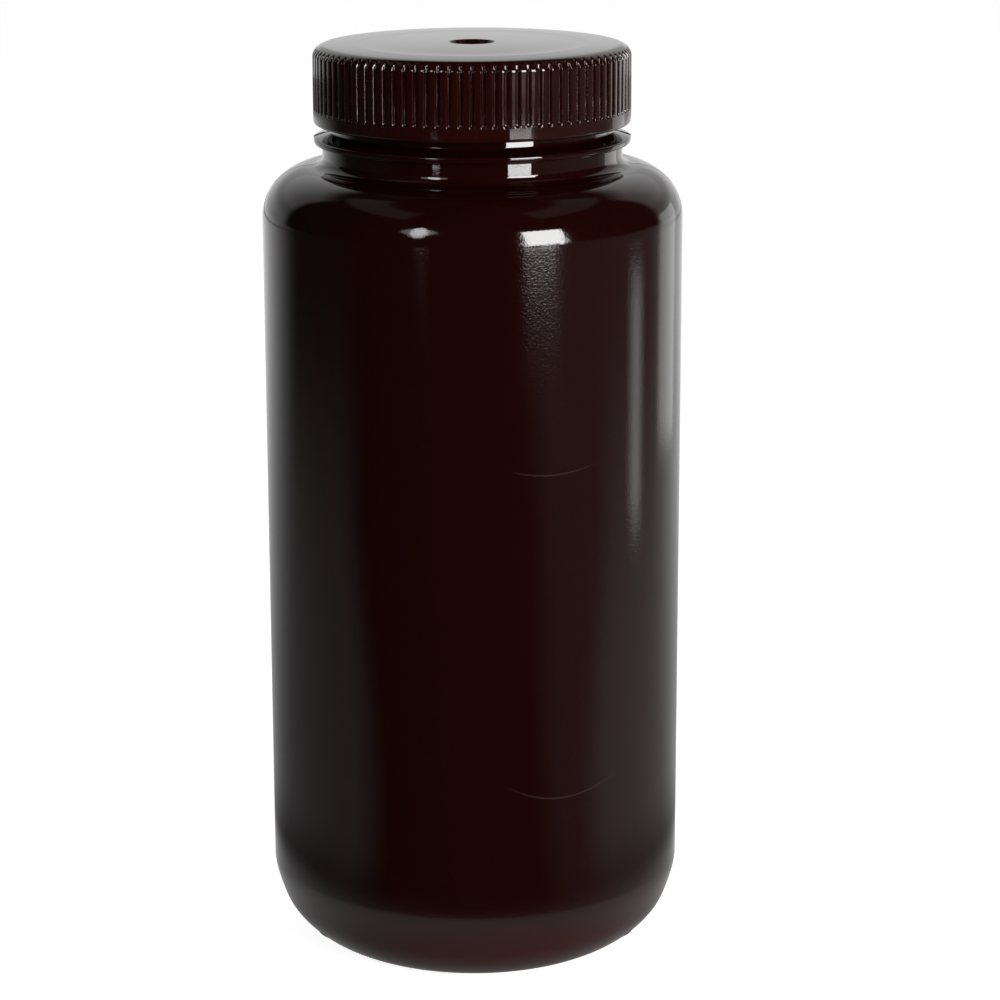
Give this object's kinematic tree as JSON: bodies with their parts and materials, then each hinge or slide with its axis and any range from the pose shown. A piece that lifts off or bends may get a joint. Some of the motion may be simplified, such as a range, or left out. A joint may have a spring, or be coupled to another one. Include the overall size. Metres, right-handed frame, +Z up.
{
  "type": "wide-mouth bottle",
  "caption": "Dark amber blow-moulded plastic laboratory bottle with a wide neck, neck ring and ribbed screw cap.",
  "frame": {"origin": "centre of the foot ring, on the surface that the bottle stands on", "axes": "+Z up along the axis of the bottle; the halves of its mould met in the XZ plane; -Y is the side that the picture shows"},
  "size_m": [0.091, 0.091, 0.201],
  "materials": {
    "bottle_plastic": "blow-moulded polyethylene, satin with fine orange peel",
    "cap_plastic": "injection-moulded polypropylene, semi-gloss"
  },
  "bodies": {
    "bottle": {"bottle": "bottle_plastic"},
    "screw_cap": {"screw_cap": "cap_plastic"}
  },
  "joints": [
    {"name": "cap_lift", "type": "slide", "parent": "bottle", "child": "screw_cap", "axis": [0, 0, 1], "range_m": [0, 0.06]}
  ]
}
